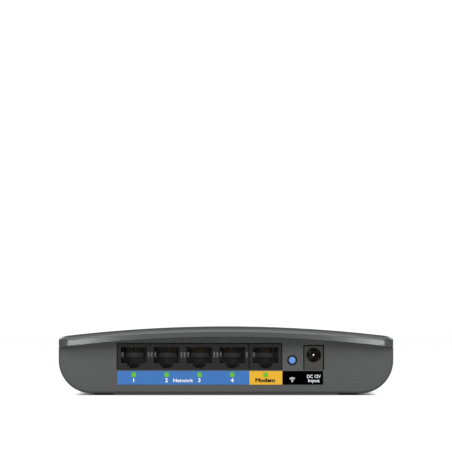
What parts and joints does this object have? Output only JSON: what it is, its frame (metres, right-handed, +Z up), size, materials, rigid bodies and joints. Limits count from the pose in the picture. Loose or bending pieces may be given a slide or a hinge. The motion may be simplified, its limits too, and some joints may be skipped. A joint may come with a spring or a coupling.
{
  "type": "wireless router",
  "caption": "Low wireless router with an arched cover over a flat rear panel that holds network sockets, a power socket, a pairing button and status lights.",
  "frame": {"origin": "on the ground under the middle of the case", "axes": "+Z up, -Y out of the panel with the sockets, +X to the right for someone who faces that panel"},
  "size_m": [0.152, 0.188, 0.0312],
  "materials": {
    "cover": "satin",
    "base": "fine texture",
    "steel": "zinc plated",
    "rubber": "matte",
    "label_grey": "printed film",
    "label_blue": "printed film",
    "label_yellow": "printed film",
    "label_black": "printed film",
    "clear_guide": "clear moulded",
    "socket_black": "moulded",
    "gold_contact": "gold plated",
    "nickel": "nickel plated",
    "button_blue": "satin",
    "button_dark": "moulded",
    "chip_black": "moulded",
    "plunger_plastic": "moulded",
    "board_green": "solder mask",
    "pad_grey": "soft pad",
    "sink_aluminium": "plain",
    "tin": "tin plated",
    "ferrite": "ferrite",
    "led_body": "clear resin",
    "ceramic": "ceramic"
  },
  "bodies": {
    "case": {"top_cover": "cover", "bottom_case": "base", "case_screws": "steel", "rubber_feet": "rubber", "rating_label": "label_grey", "ethernet_label_strip": "label_blue", "internet_label_strip": "label_yellow", "power_label_strip": "label_black", "power_light_guide": "clear_guide", "ethernet_jack_housing": "socket_black", "ethernet_jack_contacts": "gold_contact", "internet_jack_housing": "socket_black", "internet_jack_contacts": "gold_contact", "dc_jack_housing": "socket_black", "dc_jack_center_pin": "nickel", "dc_jack_spring_contact": "nickel", "dc_jack_terminal": "nickel", "pairing_switch_body": "chip_black", "pairing_switch_terminals": "nickel", "reset_switch_body": "chip_black", "reset_switch_terminals": "nickel", "ethernet_light_guide": "clear_guide", "internet_light_guide": "clear_guide", "main_circuit_board": "board_green", "board_screws": "steel", "processor_chip": "chip_black", "thermal_pad": "pad_grey", "heat_sink": "sink_aluminium", "memory_chips": "chip_black", "flash_chip": "chip_black", "rf_shield_frames": "tin", "rf_shield_covers": "tin", "radio_chips": "chip_black", "antenna_left": "tin", "antenna_right": "tin", "ethernet_transformer_module": "chip_black", "internet_transformer_module": "chip_black", "electrolytic_capacitors": "sink_aluminium", "power_inductors": "ferrite", "voltage_regulators": "chip_black", "rectifier_diode": "chip_black", "crystal_oscillators": "nickel", "port_leds": "led_body", "power_led": "led_body", "chip_resistors": "chip_black", "chip_capacitors": "ceramic"},
    "pairing_button": {"pairing_button_cap": "button_blue", "pairing_switch_plunger": "plunger_plastic"},
    "reset_button": {"reset_button_cap": "button_dark", "reset_switch_plunger": "plunger_plastic"}
  },
  "joints": [
    {"name": "pairing_button_press", "type": "slide", "parent": "case", "child": "pairing_button", "axis": [0, 1, 0], "range_m": [0, 0.0005], "stiffness_N_per_m": 3200, "springref_m": -0.0001},
    {"name": "reset_button_press", "type": "slide", "parent": "case", "child": "reset_button", "axis": [0, 0, 1], "range_m": [0, 0.0005], "stiffness_N_per_m": 3200, "springref_m": -0.0001}
  ]
}
